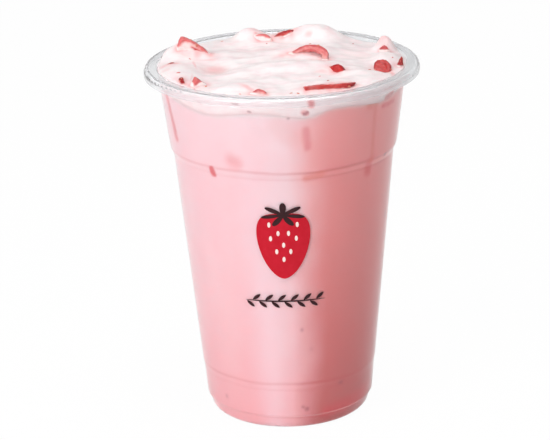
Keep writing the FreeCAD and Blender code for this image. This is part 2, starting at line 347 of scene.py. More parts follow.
def ring_at(radius, height):
    """One ring of points round the axis. Both values may vary round it."""
    return np.stack([radius * ROUND_X, radius * ROUND_Y, np.broadcast_to(height, ROUND_X.shape)],
                    axis=1)


def closed_rings(rings, steps):
    """Faces of a closed body: rings of points, then a point that closes each end."""
    faces = []
    for ring in range(rings - 1):
        a = ring * steps
        b = a + steps
        for i in range(steps):
            j = (i + 1) % steps
            faces.append((a + i, a + j, b + j, b + i))
    tips = rings * steps
    last = tips - steps
    for i in range(steps):
        j = (i + 1) % steps
        faces.append((j, i, tips))
        faces.append((last + i, last + j, tips + 1))
    return faces


def joined(bodies):
    """Points and faces of several bodies as one."""
    points, faces = [], []
    for own_points, own_faces in bodies:
        start = len(points)
        points += own_points
        faces += [tuple(start + v for v in face) for face in own_faces]
    return points, faces


def vectors(collection, key):
    flat = np.empty(len(collection) * 3, dtype=np.float32)
    collection.foreach_get(key, flat)
    return flat.reshape(-1, 3).astype(float)


def coordinates(mesh):
    """The mesh's points in millimetres."""
    return vectors(mesh.vertices, "co") / MM


def set_coordinates(mesh, points):
    mesh.vertices.foreach_set("co", (np.asarray(points) * MM).astype(np.float32).ravel())
    mesh.update()


def tree_of(objects):
    """One search tree over several meshes, in millimetres."""
    return BVHTree.FromPolygons(*joined(
        (coordinates(obj.data).tolist(), [face.vertices for face in obj.data.polygons])
        for obj in objects))


# ======== materials ========
RIM_TOP = 0.6              # the rim's look is full this far below its top, and starts at the next
RIM_FOOT = 1.4
RIM_HAZE = 0.14            # the rolled rim is less clear than the wall
RIM_SMOOTHER = 0.04
FLOOR_WHITE = 0.975        # share of plain white in the floor where it is seen
RIGHT_DIM = 0.28           # the surroundings lose this much at the right, seen through the plastic
DIM_START = -20.0          # place across where that dimming starts, and where it is full
DIM_FULL = 110.0


class Nodes:
    """The nodes of a material or a world under construction."""

    def __init__(self, owner, output="ShaderNodeOutputMaterial"):
        self.owner = owner
        owner.use_nodes = True
        self.tree = owner.node_tree
        self.tree.nodes.clear()
        self.output = self.tree.nodes.new(output)

    def feed(self, socket, value):
        if isinstance(value, bpy.types.NodeSocket):
            self.tree.links.new(value, socket)
        else:
            socket.default_value = value

    def add(self, kind, inputs=None, **settings):
        node = self.tree.nodes.new(kind)
        for key, value in settings.items():
            setattr(node, key, value)
        for key, value in (inputs or {}).items():
            self.feed(node.inputs[key], value)
        return node

    def place(self, scale=(1, 1, 1)):
        """Object coordinates in millimetres, stretched."""
        where = self.add("ShaderNodeTexCoord").outputs["Object"]
        return self.add("ShaderNodeVectorMath", {0: where, 1: tuple(s / MM for s in scale)},
                        operation="MULTIPLY").outputs[0]

    def along(self, axis):
        """Place along an axis, 0 for X to 2 for Z, in millimetres."""
        return self.add("ShaderNodeSeparateXYZ", {0: self.place()}).outputs[axis]

    def noise(self, scale, detail=3.0, roughness=0.5, stretch=(1, 1, 1)):
        return self.add("ShaderNodeTexNoise", {
            "Vector": self.place(stretch), "Scale": scale, "Detail": detail,
            "Roughness": roughness}).outputs["Fac"]

    def attribute(self, name):
        return self.add("ShaderNodeAttribute", attribute_name=name).outputs["Fac"]

    def span(self, value, low, high, to_low=0.0, to_high=1.0):
        """A value's range from low to high brought to another range, with soft ends."""
        return self.add("ShaderNodeMapRange", {
            "Value": value, "From Min": low, "From Max": high, "To Min": to_low,
            "To Max": to_high}, interpolation_type="SMOOTHSTEP").outputs[0]

    def math(self, operation, a, b):
        return self.add("ShaderNodeMath", {0: a, 1: b}, operation=operation).outputs[0]

    def rays(self, *kinds):
        """1 for light rays of these kinds and 0 for all others."""
        path = self.add("ShaderNodeLightPath").outputs
        share = path[kinds[0]]
        for kind in kinds[1:]:
            share = self.math("MAXIMUM", share, path[kind])
        return share

    def mix(self, factor, a, b):
        node = self.add("ShaderNodeMix", data_type="RGBA")
        for index, value in ((0, factor), (6, a), (7, b)):
            self.feed(node.inputs[index], value)
        return node.outputs[2]

    def fade(self, value, low, high, start, end):
        """From one colour to another as a value goes from low to high."""
        return self.mix(self.span(value, low, high), rgb(*start), rgb(*end))

    def tint(self, base, colours):
        """Colours laid over a base, each by the strength of the mesh's attribute of that name."""
        for name, colour in colours.items():
            base = self.mix(self.attribute(name), base, rgb(*colour))
        return base

    def bump(self, height, strength, distance):
        return self.add("ShaderNodeBump", {"Height": height, "Strength": strength,
                                           "Distance": distance * MM}).outputs[0]

    def blend_shaders(self, factor, a, b):
        return self.add("ShaderNodeMixShader", {0: factor, 1: a.outputs[0], 2: b.outputs[0]})

    def finish(self, shader):
        self.tree.links.new(shader.outputs[0], self.output.inputs["Surface"])
        return self.owner

    def surface(self, base, roughness, gloss=0.5, soft=(0.0, (1.0, 1.0, 1.0), 0.0), normal=None):
        """Ends the material. The soft light inside has a weight, reaches by colour and a scale."""
        shader = self.add("ShaderNodeBsdfPrincipled", {
            "Base Color": base, "Roughness": roughness, "Specular IOR Level": gloss,
            "Subsurface Weight": soft[0], "Subsurface Radius": soft[1],
            "Subsurface Scale": soft[2]})
        if normal is not None:
            self.feed(shader.inputs["Normal"], normal)
        return self.finish(shader)


def rgb(red, green, blue):
    """A colour of 0 to 255 values as the shader's linear numbers."""
    def linear(value):
        value = value / 255.0
        return value / 12.92 if value <= 0.04045 else ((value + 0.055) / 1.055) ** 2.4
    return linear(red), linear(green), linear(blue), 1.0


def material_nodes(name):
    return Nodes(bpy.data.materials.new(name))


def plastic_material():
    n = material_nodes("clear_plastic")
    cloud = n.noise(0.05, 2.0)
    rim = n.span(n.along(2), RIM_HEIGHT - RIM_FOOT, RIM_HEIGHT - RIM_TOP)
    rough = n.math("SUBTRACT", n.span(cloud, 0.3, 0.8, 0.12, 0.2),
                   n.math("MULTIPLY", rim, RIM_SMOOTHER))
    clear = n.math("SUBTRACT", n.span(cloud, 0.3, 0.8, 0.99, 0.97),
                   n.math("MULTIPLY", rim, RIM_HAZE))
    clear_body = n.add("ShaderNodeBsdfPrincipled", {
        "Base Color": rgb(249, 250, 252), "Roughness": rough, "IOR": 1.49,
        "Transmission Weight": clear})
    passed = n.add("ShaderNodeBsdfTransparent", {"Color": rgb(254, 254, 254)})
    passing = n.rays("Is Shadow Ray", "Is Diffuse Ray")
    return n.finish(n.blend_shaders(passing, clear_body, passed))


def milk_material():
    n = material_nodes("milk_tea")
    soft = n.noise(0.035, 3.0, 0.55, (1.0, 1.0, 0.45))
    cloud = n.noise(0.12, 4.0, 0.6, (1.0, 1.0, 0.7))
    base = n.fade(soft, 0.35, 0.7, (251, 206, 213), (253, 217, 222))
    base = n.mix(n.span(cloud, 0.45, 0.75, 0.0, 0.25), base, rgb(249, 196, 202))
    base = n.tint(base, {"deep": (236, 126, 130)})
    # The redder side's colour darkens towards the bottom, partly painted shade.
    fruit = n.mix(n.attribute("low"), rgb(252, 140, 136), rgb(196, 88, 88))
    base = n.mix(n.attribute("fruit"), base, fruit)
    base = n.tint(base, {
        "creamy": (253, 230, 228),
        # painted shade at the ledges
        "painted_ledge_shade": (204, 84, 88),
        "red_pulp": (222, 80, 88),
        # orange pulp, and painted shade under the upper ledge
        "orange_pulp_and_shade": (232, 122, 104),
        "dark_speck": (150, 56, 76),
    })
    return n.surface(base, 0.5, 0.1, (0.45, (1.0, 0.6, 0.6), 0.003))


def cream_material():
    n = material_nodes("cream")
    cloud = n.noise(0.22, 3.0, 0.55)
    streak = n.noise(0.30, 3.0, 0.6, (0.35, 1.3, 1.0))
    fine = n.noise(0.9, 3.0, 0.6, (0.6, 1.4, 1.0))
    base = n.fade(cloud, 0.35, 0.7, (255, 241, 241), (254, 231, 233))
    base = n.mix(n.span(streak, 0.5, 0.78, 0.0, 0.5), base, rgb(252, 219, 221))
    base = n.tint(base, {
        # partly juice stains, partly painted pink shade
        "stain_and_shade": (243, 156, 156),
        "drink": (249, 192, 194),
        "red_pulp": (222, 92, 98),
        "dark_speck": (150, 64, 84),
    })
    return n.surface(base, 0.42, 0.35, (0.5, (1.0, 0.85, 0.85), 0.0018), n.bump(fine, 0.25, 0.15))


def berry_material():
    """Skin, flesh and heart by depth from the skin, each paler or redder by ripeness."""
    n = material_nodes("strawberry")
    fibre = n.noise(0.9, 3.0, 0.65)
    mottle = n.noise(0.35, 2.0, 0.5)
    ripe = n.attribute("ripe")
    depth = n.math("ADD", n.attribute("depth"), n.span(mottle, 0.2, 0.8, -0.5, 0.5))
    skin = n.mix(ripe, rgb(228, 122, 122), rgb(150, 20, 30))
    flesh = n.mix(ripe, n.fade(fibre, 0.35, 0.7, (238, 140, 140), (248, 182, 178)),
                  n.fade(fibre, 0.35, 0.7, (172, 28, 30), (204, 56, 52)))
    heart = n.mix(ripe, rgb(250, 206, 200), rgb(190, 46, 42))
    inside = n.mix(n.span(depth, 1.6, 3.6), flesh, heart)
    base = n.mix(n.span(depth, 0.1, 0.9), skin, inside)
    base = n.tint(base, {"core": (206, 48, 56), "coat": (253, 232, 230)})
    return n.surface(base, 0.22, 0.22, (0.35, (1.0, 0.35, 0.3), 0.002), n.bump(fibre, 0.5, 0.2))


def seed_material():
    n = material_nodes("seed")
    base = n.fade(n.noise(1.2, 2.0), 0.3, 0.7, (196, 92, 80), (222, 142, 116))
    return n.surface(base, 0.35)


def pulp_material():
    n = material_nodes("pulp")
    base = n.fade(n.noise(0.8, 2.0), 0.3, 0.7, (196, 52, 58), (226, 104, 98))
    return n.surface(base, 0.3, soft=(0.2, (1.0, 0.35, 0.3), 0.001))


def print_material():
    n = material_nodes("print")
    wear = n.span(n.noise(0.4, 3.0), 0.3, 0.75)
    base = n.mix(wear, rgb(198, 8, 36), rgb(205, 18, 44))
    pale = n.mix(wear, rgb(250, 226, 220), rgb(253, 236, 230))
    dark = n.mix(wear, rgb(48, 20, 24), rgb(62, 28, 32))
    base = n.mix(n.attribute("pale"), base, pale)
    base = n.mix(n.attribute("dark"), base, dark)
    return n.surface(base, n.span(wear, 0.0, 1.0, 0.32, 0.4), 0.2)


def floor_material():
    """White where it is seen, and a pale matt ground to the light."""
    n = material_nodes("floor")
    pale = n.fade(n.noise(0.004, 2.0), 0.3, 0.7, (250, 250, 250), (253, 253, 253))
    matt = n.add("ShaderNodeBsdfDiffuse", {"Color": pale})
    # Seen through the plastic, the surroundings are brighter at the left, by the lamps.
    dimmer = n.math("MULTIPLY", n.span(n.along(0), DIM_START, DIM_FULL, 0.0, RIGHT_DIM),
                    n.rays("Is Transmission Ray"))
    white = n.add("ShaderNodeEmission", {"Color": (1, 1, 1, 1),
                                         "Strength": n.math("SUBTRACT", 1.0, dimmer)})
    seen = n.rays("Is Camera Ray", "Is Transmission Ray", "Is Glossy Ray")
    return n.finish(n.blend_shaders(n.math("MULTIPLY", seen, FLOOR_WHITE), matt, white))


plastic = plastic_material()
milk_look = milk_material()
cream_look = cream_material()
berry_look = berry_material()

# ======== the cup ========
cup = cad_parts["cup"]
cup.data.materials.clear()
cup.data.materials.append(plastic)


# ======== the strawberries ========
BERRY_FINE = (1.1, 0.16)       # noise in a piece's surface: size of its lumps, height
BERRY_BROAD = (3.2, 0.24)
COAT_EDGE = 0.3                # half width of the edge of the cream that creeps up a piece
COAT_HEIGHT = 0.15
FILM_START = 0.35              # depth from the skin where the film of cream starts, and is full
FILM_FULL = 1.3
CORE_DEPTH = 2.0
CORE_WIDTH = 0.8
CORE_FADE = (-0.5, 1.0)        # it fades in over this width at the piece's middle
RIPE_SPREAD = 0.15


def outline_radius(share):
    """Share of a strawberry's greatest radius at a share of its length, in straight steps."""
    at, wide = zip(*BERRY_OUTLINE)
    return np.interp(share, at, wide)


def berry_frame(name):
    """The piece's turn and middle, and where its own box's middle lay in the whole berry."""
    shape, length, width, thickness, place, (tilt, spin, swing) = BERRIES[name]
    turn = (Matrix.Rotation(math.radians(swing), 3, "Z")
            @ Matrix.Rotation(math.radians(tilt), 3, "X")
            @ Matrix.Rotation(math.radians(spin), 3, "Y"))
    middle = Vector((place[0] * MOUTH_RADIUS, place[1] * MOUTH_RADIUS, RIM_HEIGHT + place[2]))
    local = {
        "slice": (0.0, 0.0, length / 2),
        "half": (width / 4, 0.0, length / 2),
        "wedge": (width / 4, width / 4, length - (length / 2 + thickness) / 2),
        "tip": (0.0, 0.0, thickness / 2),
        "rind": (-width * (0.5 + RIND_END) / 2, 0.0, length * (1 + RIND_START) / 2),
    }[shape]
    return turn, middle, Vector(local)


def finer_mesh(obj):
    """The object's mesh at a finer grain, with its edges softened."""
    remesh = obj.modifiers.new("Remesh", "REMESH")
    remesh.mode = "VOXEL"
    remesh.voxel_size = BERRY_VOXEL * MM
    remesh.use_smooth_shade = True
    smooth = obj.modifiers.new("Smooth", "SMOOTH")
    smooth.factor = SMOOTH_SHARE
    smooth.iterations = SMOOTH_ROUNDS
    bpy.context.view_layer.update()
    graph = bpy.context.evaluated_depsgraph_get()
    mesh = bpy.data.meshes.new_from_object(obj.evaluated_get(graph), depsgraph=graph)
    obj.modifiers.clear()
    return mesh


def skin_depth(name, points):
    """How deep under the whole berry's skin each point of a piece lay."""
    _, length, width, *_ = BERRIES[name]
    turn, middle, local_middle = berry_frame(name)
    local = (points - np.array(middle)) @ np.array(turn) + np.array(local_middle)
    reach = outline_radius(np.clip(local[:, 2] / length, 0, 1)) * width / 2
    return np.maximum(reach - np.hypot(local[:, 0], local[:, 1]), 0.0)


def make_berry(name, seed):
    """The cut piece with an uneven surface, and what its colour follows."""
    obj = bpy.data.objects.new(name + "_dressed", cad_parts[name].data.copy())
    bpy.context.scene.collection.objects.link(obj)
    mesh = finer_mesh(obj)
    obj.data = mesh
    mesh.materials.clear()
    mesh.materials.append(berry_look)
    points = coordinates(mesh)
    normals = vectors(mesh.vertex_normals, "vector")
    creep, cover, ripe = BERRY_LOOKS[name]
    depth = skin_depth(name, points)
    fine = noise_of(points, BERRY_FINE[0], seed)
    broad = noise_of(points, BERRY_BROAD[0], seed + 0.5)
    above = points[:, 2] - cream_top(points[:, 0], points[:, 1])
    crept = creep * (0.7 + 0.9 * broad) + 0.2 * fine
    coat = 1 - smoothstep(-COAT_EDGE, COAT_EDGE, above - crept)
    film = cover * smoothstep(FILM_START, FILM_FULL, depth + 0.5 * broad + 0.3 * fine)
    core = np.exp(-(((depth - CORE_DEPTH - 0.3 * broad) / CORE_WIDTH) ** 2))
    past_middle = points[:, 0] - BERRIES[name][4][0] * MOUTH_RADIUS
    core = core * BERRY_CORES.get(name, 0.0) * smoothstep(*CORE_FADE, past_middle)
    coat = np.maximum(coat, film * (1 - core))
    swell = BERRY_FINE[1] * fine + BERRY_BROAD[1] * broad + COAT_HEIGHT * coat
    set_coordinates(mesh, points + normals * swell[:, None])
    set_attribute(mesh, "depth", depth)
    set_attribute(mesh, "coat", coat)
    set_attribute(mesh, "core", core)
    set_attribute(mesh, "ripe", ripe + RIPE_SPREAD * broad)
    mesh.shade_smooth()
    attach(obj, "root")
    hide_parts(name)
    return obj


berries = [make_berry(name, index + 1.0) for index, name in enumerate(BERRIES)]
berry_tree = tree_of(berries)


# ======== pulp behind the wall ========
# Start and end as azimuth and height, half width, softness, strength.
RED_PULP = {
    "left streak": ((-158.7, 118), (-154.7, 104), 0.5, 1.6, 0.6),
    "left dash": ((-129, 96.9), (-128.9, 94.9), 0.6, 1, 0.85),
    "left blotch": ((-116, 101.2), (-114, 100.6), 0.1, 4.2, 0.34),
    "front streak": ((-79.6, 112.4), (-78.8, 106.5), 0.3, 2.2, 0.42),
    "front upper piece": ((-77.6, 122.6), (-77, 121.4), 0.4, 1.3, 0.8),
    "front lower piece": ((-80.6, 118.9), (-79, 118.5), 0.3, 1.1, 0.5),
    "right spot": ((-42, 96.4), (-42, 93), 0.6, 2.2, 0.55),
    "right piece": ((-34, 118), (-27, 119), 0.2, 1.3, 0.6),
    "right arc": ((-36, 115.6), (-24, 115.4), 0.3, 1, 0.5),
    "low red": ((-64, 5.5), (-30, 9), 0.8, 3.4, 0.50),
}
ORANGE_PULP_AND_SHADE = {
    "right corner": ((-46.5, 117.6), (-41.5, 117.2), 0.4, 1.8, 0.55),
    "right column": ((-42, 117), (-41, 97), 0.2, 1.6, 0.35),
    # Painted shade: an orange line on the upper ledge's face at the front right, kept among the
    # pulp streaks.
    "painted shade under ledge": ((-79, 95), (-71, 96), 0.4, 1.8, 0.45),
    "front top": ((-92, 114), (-86, 110), 1.5, 4, 0.12),
}
DARK_SPECKS = {
    "right dot": ((-28, 96.7), (-28, 96.7), 0.35, 0.7, 0.8),
    "band speck a": ((-132, 120.6), (-130, 120.4), 0.1, 0.5, 0.5),
    "band speck b": ((-105.5, 119.3), (-105, 119.3), 0.15, 0.5, 0.55),
    "band speck c": ((-113, 121.8), (-110.5, 121.9), 0.1, 0.5, 0.5),
    "band speck d": ((-80.5, 118.3), (-78.5, 118.8), 0.15, 0.6, 0.6),
    "band speck e": ((-88, 116.9), (-87.5, 116.9), 0.15, 0.5, 0.5),
    "speck a": ((-82, 38.8), (-82, 38.8), 0.2, 0.9, 0.35),
    "speck b": ((-76, 31), (-76, 31), 0.2, 0.9, 0.25),
    "speck c": ((-54, 15.8), (-54, 15.8), 0.3, 1, 0.45),
    "speck d": ((-81.6, 8.8), (-81.6, 8.8), 0.3, 0.9, 0.35),
    "speck e": ((-79, 7.9), (-79, 7.9), 0.4, 1, 0.45),
    "speck f": ((-139, 9.6), (-139, 9.6), 0.3, 1, 0.25),
}
SCATTER_SEED = 7
SIDE_STREAKS = 15
SIDE_SPECKS = 14
STREAK_RADIUS = 37.0           # a streak's slant is worked out at this radius
STREAK_WOBBLE = 0.35


def add_scattered(seed):
    """Streaks and specks on the sides and the back, which the photo doesn't show."""
    draw = np.random.default_rng(seed).uniform
    for index in range(SIDE_STREAKS):
        start = (draw(-12.0, 185.0), draw(92.0, 117.0))
        end = (start[0] + draw(-3.0, 3.0), start[1] - draw(0.5, 13.0))
        table = RED_PULP if index % 3 else ORANGE_PULP_AND_SHADE
        table[f"side {index}"] = (start, end, draw(0.2, 0.7), draw(1.0, 2.4), draw(0.25, 0.6))
    for index in range(SIDE_SPECKS):
        at = (draw(-20.0, 200.0), draw(6.0, 112.0))
        DARK_SPECKS[f"side {index}"] = (at, at, draw(0.2, 0.4), draw(0.6, 1.0), draw(0.25, 0.5))


def streaks(points, table):
    """Strength of the pulp streaks at points on the drink's side."""
    azimuth = np.degrees(np.arctan2(points[:, 1], points[:, 0]))
    radius = np.hypot(points[:, 0], points[:, 1])
    total = np.zeros(len(points))
    wobble = STREAK_WOBBLE * noise_of(points, 1.6, 21.0)
    for (az_a, z_a), (az_b, z_b), half_width, softness, strength in table.values():
        around = np.radians(turned_from(az_a, azimuth)) * radius
        up = points[:, 2] - z_a
        end = np.array([math.radians(az_b - az_a) * STREAK_RADIUS, z_b - z_a])
        length = max(float(end @ end), TINY)
        share = np.clip((around * end[0] + up * end[1]) / length, 0.0, 1.0)
        distance = np.hypot(around - share * end[0], up - share * end[1])
        edge = smoothstep(half_width, half_width + softness, distance + wobble)
        total = np.maximum(total, strength * (1 - edge))
    return total


add_scattered(SCATTER_SEED)

# ======== the cream ========
# Soft pink places on the cream's top, partly juice stains and partly painted pink shade in its
# folds and
# beside its peaks: middle as shares of the mouth's radius, reach along and across, turn in degrees,
# strength.
CREAM_STAINS_AND_SHADE = {
    "left salmon": (-0.54, -0.14, 4.2, 5.5, 0, 0.48),
    "mound spot": (0.236, 0.668, 1.5, 1.3, 0, 0.45),
    "front left streak": (-0.25, -0.82, 4.2, 1.1, -38, 0.55),
    "left lump": (-0.931, -0.22, 1.6, 2, 0, 0.25),
    "middle blush": (-0.10, 0.36, 11, 5, 8, 0.10),
    "right tail": (0.878, -0.39, 0.7, 4, 0, 0.65),
    # Painted shade: pink lines along the crease of the left fold.
    "left fold": (-0.70, -0.05, 0.5, 5, 8, 0.45),
    "left fold low": (-0.72, -0.52, 0.5, 6, 0, 0.35),
    "slice root": (-0.58, 0.14, 2.6, 1.6, -20, 0.35),
    "right blush": (0.62, 0.10, 6, 8, 0, 0.10),
    "back blush": (-0.22, 0.76, 2.6, 3, 0, 0.22),
    # Painted shade beside the right peak.
    "peak blush": (0.84, 0.30, 2.4, 3, 0, 0.42),
    "wedge root": (0.33, -0.36, 3.2, 1, 20, 0.40),
}
# Noise in the dressed cream's top: size of its lumps, seed and height. The first two are drawn out
# along the folds, and the warp sways them sideways. The border's noise moves its colours alone.
CREAM_STREAKS = (3.0, 1.0, 0.15)
CREAM_BRUSHED = (1.3, 2.0, 0.05)
CREAM_KNOBS = (4.2, 4.0, 0.36)
CREAM_SWELLS = (9.0, 5.0, 0.30)
CREAM_WARP = (13.0, 3.0, 2.2)
BORDER_FINE = (2.0, 8.0, 0.35)
BORDER_BROAD = (5.0, 9.0, 0.25)
GRAIN_TURN = 16.0              # the drawn-out noise runs this way, in degrees
GRAIN_STRETCH = 3.4
PATCH_NOISE = (2.4, 6.0)       # size and seed of the noise that breaks up the stains
STAIN_WOBBLE = 0.7
STAIN_REACH = 1.3              # the fruit's red runs this far into the cream, and how it fades
STAIN_FALL = 1.3
STAIN_SEARCH = 6.0
COLLAR_REACH = 0.9             # the cream stands up a little beside each piece
COLLAR_HEIGHT = 0.12
FLAT_EDGE = 4.0                # the noise fades out over this width by the wall
TOP_TURN_DOWN = 0.25           # the top's edge turns down this far to the wall
RING_CROWDING = 0.85           # below 1, the top's rings lie closer to the edge
UNDER_RINGS = (0.9, 0.6, 0.3)
DRINK_TINGE = 0.18             # the drink's colour in the cream's side, and more of it at its foot
DRINK_TINGE_LOW = 0.40
BORDER_START = -0.2            # the cream turns to drink between these distances from the border
TINGE_END = 1.7
CREAMY_END = 1.5
CREAMY_SHARE = 0.5


def tall_noise(points, kind):
    size, seed, height = kind
    return height * noise_of(points, size, seed)


def border_blur(points):
    """Unevenness of the border of cream and drink, seen through the wall."""
    return tall_noise(points, BORDER_FINE) + tall_noise(points, BORDER_BROAD)


def border_ring(share):
    """A ring of the cream's underside, at a share of the way out to the wall."""
    radius = FILL_RADIUS * share
    return ring_at(radius, cream_underside(radius * ROUND_X, radius * ROUND_Y))


def cream_height(plan, inside):
    """Height of the dressed cream's top: the source's, with finer folds, knobs and swells."""
    x, y = plan[:, 0], plan[:, 1]
    turn = math.radians(GRAIN_TURN)
    along = x * math.cos(turn) + y * math.sin(turn)
    across = y * math.cos(turn) - x * math.sin(turn) + tall_noise(plan, CREAM_WARP)
    grain = np.stack([along / GRAIN_STRETCH, across, np.zeros_like(x)], axis=1)
    uneven = tall_noise(grain, CREAM_STREAKS) + tall_noise(grain, CREAM_BRUSHED)
    uneven = uneven + tall_noise(plan, CREAM_KNOBS) + tall_noise(plan, CREAM_SWELLS)
    return cream_top(x, y) + inside * uneven


def berry_distance(points):
    """How far each point is from the nearest strawberry piece, where that is near."""
    found = [berry_tree.find_nearest(Vector(point), STAIN_SEARCH)[3] for point in points]
    return np.array([math.inf if distance is None else distance for distance in found])


def cream_stain_and_shade(plan, distance):
    """How pink the cream's top is: round the fruit, and in the places that the table gives, some of
    them painted shade.
    """
    patch = noise_of(plan, *PATCH_NOISE)
    knobs = noise_of(plan, *CREAM_KNOBS[:2])
    stain_and_shade = np.exp(-((distance / STAIN_REACH) ** STAIN_FALL)) * (0.55 + 0.5 * patch)
    x, y = plan[:, 0] + STAIN_WOBBLE * knobs, plan[:, 1] + STAIN_WOBBLE * patch
    for share_x, share_y, along, across, turn, strength in CREAM_STAINS_AND_SHADE.values():
        stain_and_shade = np.maximum(stain_and_shade, bump(x, y, (share_x, share_y, strength, along, across, turn)))
    return np.clip(stain_and_shade, 0.0, 1.0)


def cream_side(edge_height, bottom):
    """The cream's side, just inside the wall, from the top's edge down to the drink."""
    top = edge_height - TOP_TURN_DOWN
    rings = []
    for step in range(SIDE_STEPS + 1):
        level = top + (bottom - top) * (step / SIDE_STEPS)
        rings.append(ring_at(np.minimum(fill_radius(level), fill_radius(RIM_HEIGHT)), level))
    return np.vstack(rings)


def make_cream():
    shares = np.linspace(0, 1, CREAM_RINGS + 1)[1:] ** RING_CROWDING
    plan = np.vstack([ring_at(FILL_RADIUS * share, 0.0) for share in shares])
    inside = smoothstep(0.0, FLAT_EDGE, FILL_RADIUS - np.hypot(plan[:, 0], plan[:, 1]))
    top = plan.copy()
    top[:, 2] = cream_height(plan, inside)
    distance = berry_distance(top)
    top[:, 2] += inside * COLLAR_HEIGHT * np.exp(-((distance / COLLAR_REACH) ** 2))
    bottom = border_ring(1.0)[:, 2]
    side = cream_side(top[-TURN_STEPS:, 2], bottom)
    # The underside closes the piece and is hidden by the drink.
    under = np.vstack([border_ring(share) for share in UNDER_RINGS])
    tips = [(0.0, 0.0, float(cream_top(0.0, 0.0))), (0.0, 0.0, RIM_HEIGHT - CREAM_DEPTH)]
    points = np.vstack([top, side, under, tips])
    over_drink = side[:, 2] - np.tile(bottom, SIDE_STEPS + 1) + border_blur(side)
    drink = DRINK_TINGE + DRINK_TINGE_LOW * (1 - smoothstep(BORDER_START, TINGE_END, over_drink))
    rest = np.zeros(len(points) - len(top) - len(side))
    # Pulp shows only in the side, which starts after the top's points.
    at_side = np.arange(len(points)) >= len(top)
    rings = CREAM_RINGS + SIDE_STEPS + 1 + len(UNDER_RINGS)
    obj = new_object("cream_dressed", points, closed_rings(rings, TURN_STEPS), {
        "stain_and_shade": np.concatenate([cream_stain_and_shade(plan, distance), np.zeros(len(side)), rest]),
        "drink": np.concatenate([np.zeros(len(top)), drink, rest]),
        "red_pulp": streaks(points, RED_PULP) * at_side,
        "dark_speck": streaks(points, DARK_SPECKS) * at_side,
    })
    obj.data.materials.append(cream_look)
    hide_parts("cream")
    return obj


cream = make_cream()

# ======== seeds and specks ========
SEED_SIZE = (0.62, 0.40, 0.24)         # half length, half width, half height
# Places as shares of the mouth's radius, then a heading in degrees or a half length.
SEEDS_IN_CREAM = (
    (0.067, -0.913, 20), (0.121, -0.917, -35), (-0.497, 0.723, 10), (0.36, -0.70, 60),
    (0.70, -0.40, 15), (-0.60, -0.66, 80), (0.24, 0.50, -20), (-0.10, 0.86, 40))
PULP_IN_CREAM = (
    (-0.828, -0.374, 0.8), (-0.748, 0.139, 0.6), (-0.69, -0.70, 0.5), (0.60, 0.58, 0.7),
    (0.30, -0.52, 0.5), (-0.33, -0.90, 0.5), (0.90, -0.06, 0.6), (-0.12, 0.60, 0.5))
SEED_SINK = 0.3                # share of its half height that a body sinks in
PULP_SINK = 0.45
PULP_SHAPE = (1.0, 0.6, 0.35)          # length, width and height for each millimetre of half length
PULP_WAVE = 0.15
PULP_TURN = 137.0
BLOB_TURNS = 14
BLOB_RINGS = 8
BLOB_SLIMMING = 0.25
SEEDS_A_BERRY = 44
SEED_TURN = 2.39996            # the golden angle, from each seed to the next
SEED_SPAN = (0.08, 0.94)       # share of the fruit's length where seeds grow
SEED_SEARCH = 0.45             # a seed shows where a piece's surface is this near the fruit's skin
SEED_CLEARANCE = 0.2
SEED_PRESS = 0.05
FULL_SEED_WIDTH = 16.0         # narrower fruit has smaller seeds


def blob(middle, along, across, outward, halves, wave=0.0):
    """A small rounded body, slimmer at one end: its points and faces."""
    points = []
    for ring in range(1, BLOB_RINGS):
        t = math.pi * ring / BLOB_RINGS
        slim = math.sin(t) * (1.0 - BLOB_SLIMMING * math.cos(t))
        for i in range(BLOB_TURNS):
            a = TAU * i / BLOB_TURNS
            bulge = 1.0 + wave * math.sin(3 * a + 2 * t)
            points.append(middle + along * (-halves[0] * math.cos(t) * bulge)
                          + across * (halves[1] * slim * math.cos(a) * bulge)
                          + outward * (halves[2] * slim * math.sin(a) * bulge))
    points += [middle - along * halves[0], middle + along * halves[0]]
    return [tuple(p) for p in points], closed_rings(BLOB_RINGS - 1, BLOB_TURNS)


def blob_on(hit, outward, hint, halves, sunk, wave=0.0):
    """A small body lying on a surface, turned as near to a direction as it can lie."""
    along = (hint - outward * hint.dot(outward)).normalized()
    return blob(hit - outward * sunk, along, outward.cross(along), outward, halves, wave)


def on_cream(share_x, share_y, heading, halves, sink, wave=0.0):
    """A small body lying on the cream's top at a place."""
    above = Vector((share_x * MOUTH_RADIUS, share_y * MOUTH_RADIUS, RIM_HEIGHT + 30.0))
    hit, outward, _, _ = cream_tree.ray_cast(above, Vector((0, 0, -1)))
    a = math.radians(heading)
    return blob_on(hit, outward, Vector((math.cos(a), math.sin(a), 0.0)), halves,
                   halves[2] * sink, wave)


def berry_seeds(name, berry):
    """Seeds on what shows of a piece's skin, in the spiral they grow in."""
    _, length, width, *_ = BERRIES[name]
    turn, middle, local_middle = berry_frame(name)
    size = min(1.0, width / FULL_SEED_WIDTH + 0.25)
    tree = tree_of([berry])
    found = []
    for k in range(SEEDS_A_BERRY):
        share = SEED_SPAN[0] + (SEED_SPAN[1] - SEED_SPAN[0]) * (k + 0.5) / SEEDS_A_BERRY
        around = k * SEED_TURN
        radius = float(outline_radius(share)) * width / 2
        local = Vector((radius * math.cos(around), radius * math.sin(around), share * length))
        hit, outward, _, _ = tree.find_nearest(turn @ (local - local_middle) + middle, SEED_SEARCH)
        if hit is None:
            continue
        bare = hit.z - float(cream_top(hit.x, hit.y)) - BERRY_LOOKS[name][0]
        if bare >= SEED_CLEARANCE:
            found.append(blob_on(hit, outward, turn @ Vector((0, 0, 1)),
                                 [half * size for half in SEED_SIZE], SEED_PRESS))
    return found


